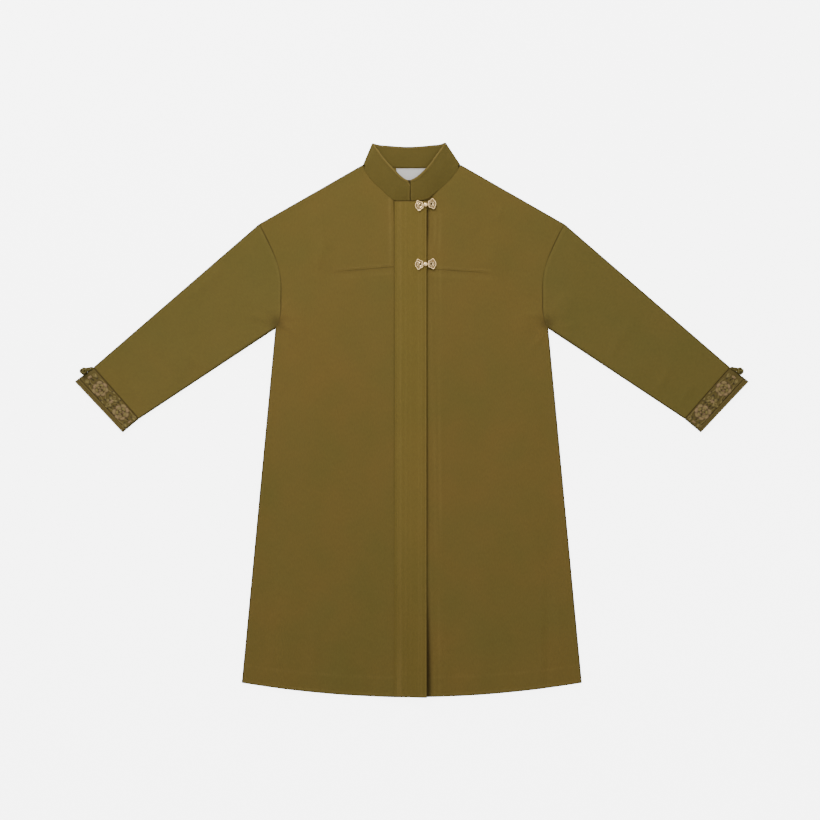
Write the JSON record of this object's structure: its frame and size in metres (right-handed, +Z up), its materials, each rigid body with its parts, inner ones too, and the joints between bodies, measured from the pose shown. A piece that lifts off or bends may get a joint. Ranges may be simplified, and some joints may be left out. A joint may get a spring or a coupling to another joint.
{
  "type": "hanfu overcoat laid flat",
  "caption": "Long straight overcoat laid flat: stand collar, lapped front band with metal bow clasps, chest yokes, dropped sleeves with embroidered cuffs and knot buttons.",
  "frame": {"origin": "centre of the bounding box on the plane that the coat lies on", "axes": "+Z up out of the coat's front, +Y towards the collar, +X towards the wearer's left sleeve"},
  "size_m": [1.3468, 1.1089, 0.0199],
  "materials": {
    "coat_cloth": "matt dense wool-like cloth, olive brown, short nap",
    "cuff_cloth": "the same cloth under embroidery, matt",
    "knot_cord": "bias cord of the coat's cloth, slightly satin",
    "embroidery_thread": "silky satin-stitch thread in pinkish beige and pale gold",
    "label_cloth": "off-white woven satin tape, bare",
    "clasp_metal": "polished pale rose gold"
  },
  "bodies": {
    "root": {"back": "coat_cloth", "front_right": "coat_cloth", "front_left": "coat_cloth", "yoke_right": "coat_cloth", "yoke_left": "coat_cloth", "front_band": "coat_cloth", "collar": "coat_cloth", "neck_label": "label_cloth", "sleeve_right": "coat_cloth", "cuff_band_right": "cuff_cloth", "cuff_edge_right": "coat_cloth", "cuff_knot_right": "knot_cord", "cuff_loop_right": "knot_cord", "sleeve_left": "coat_cloth", "cuff_band_left": "cuff_cloth", "cuff_edge_left": "coat_cloth", "cuff_knot_left": "knot_cord", "cuff_loop_left": "knot_cord", "clasp_upper_ball_half": "clasp_metal", "clasp_upper_loop_half": "clasp_metal", "clasp_lower_ball_half": "clasp_metal", "clasp_lower_loop_half": "clasp_metal"}
  },
  "joints": []
}
